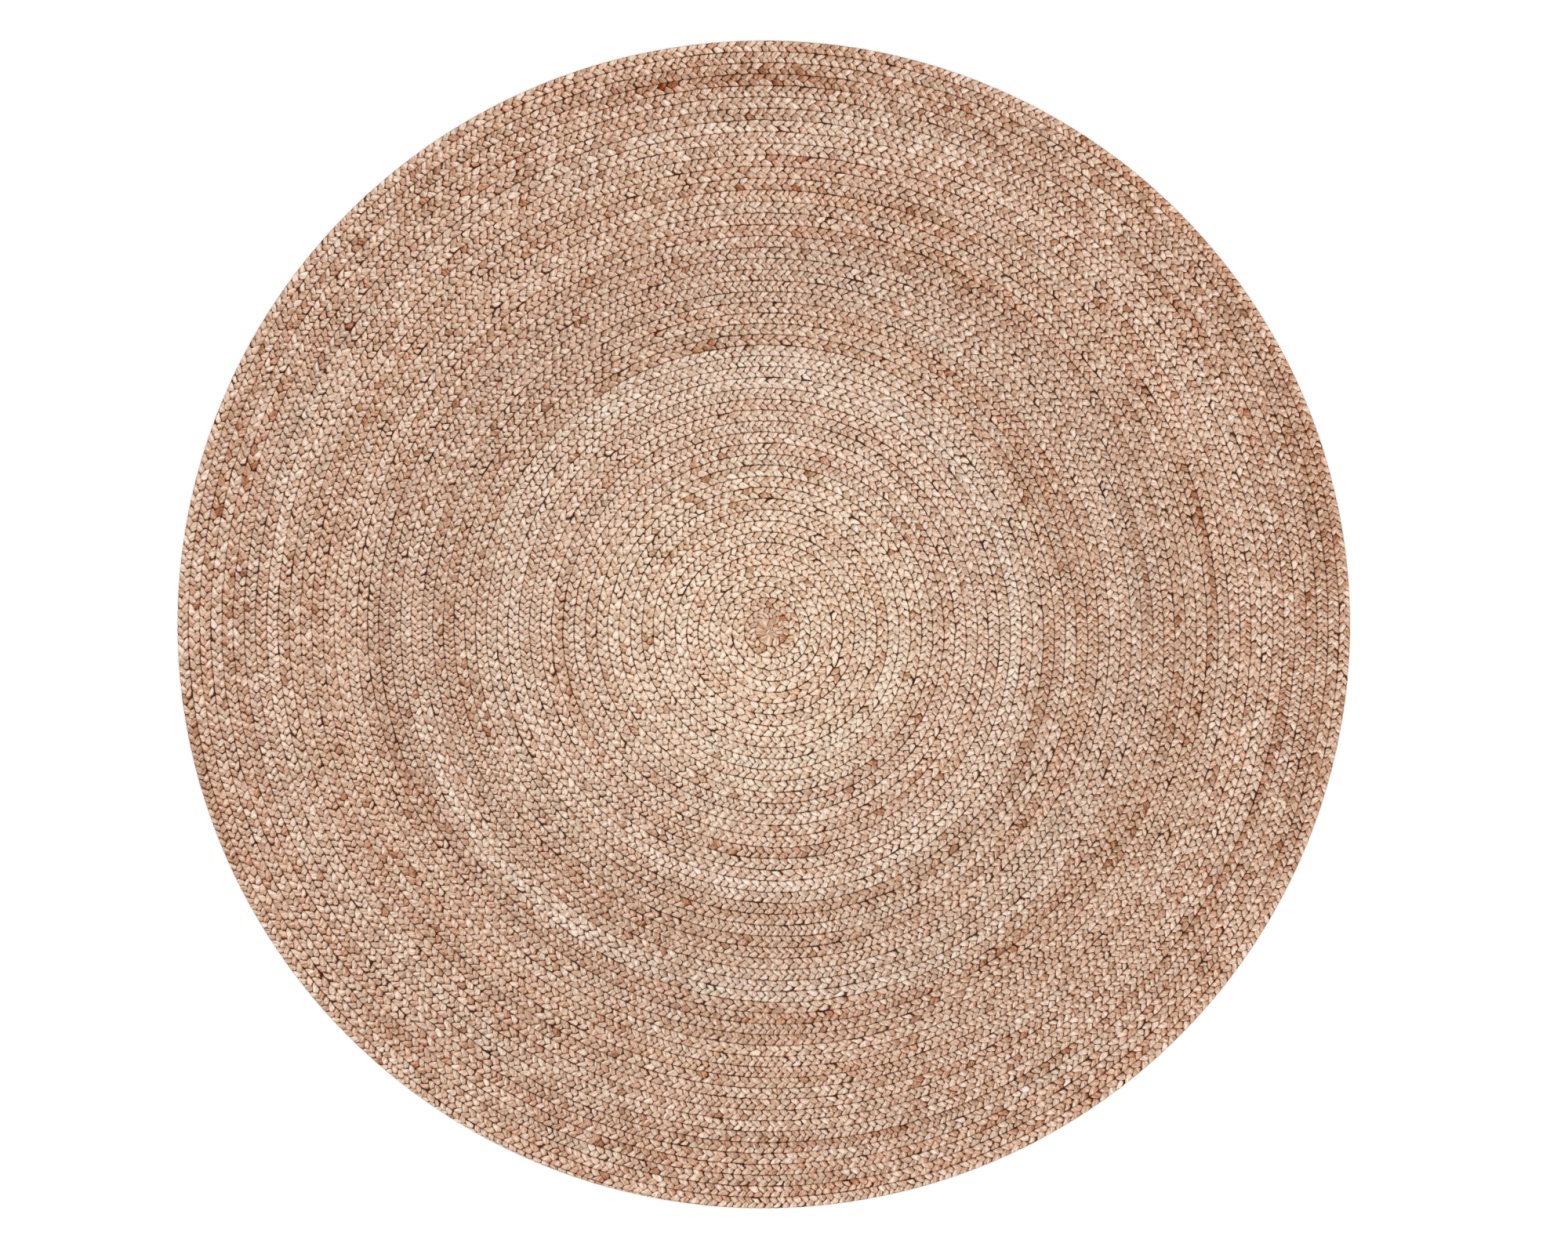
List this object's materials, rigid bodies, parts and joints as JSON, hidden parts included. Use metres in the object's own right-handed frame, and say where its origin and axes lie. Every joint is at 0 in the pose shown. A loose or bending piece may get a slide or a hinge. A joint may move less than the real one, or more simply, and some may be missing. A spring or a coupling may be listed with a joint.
{
  "type": "round braided jute rug",
  "caption": "Flat round floor rug wound in a spiral from one three-strand jute braid, sewn edge to edge, with its tail tapered into a clean round rim.",
  "frame": {"origin": "centre of the underside, on the floor", "axes": "+Z up out of the floor, +X to the right and +Y up in the picture, which looks straight down"},
  "size_m": [1.8, 1.8, 0.009],
  "materials": {
    "jute_braid": "undyed jute yarn, dull, mottled from cream to reddish brown"
  },
  "bodies": {
    "root": {"braided_rug": "jute_braid"}
  },
  "joints": []
}
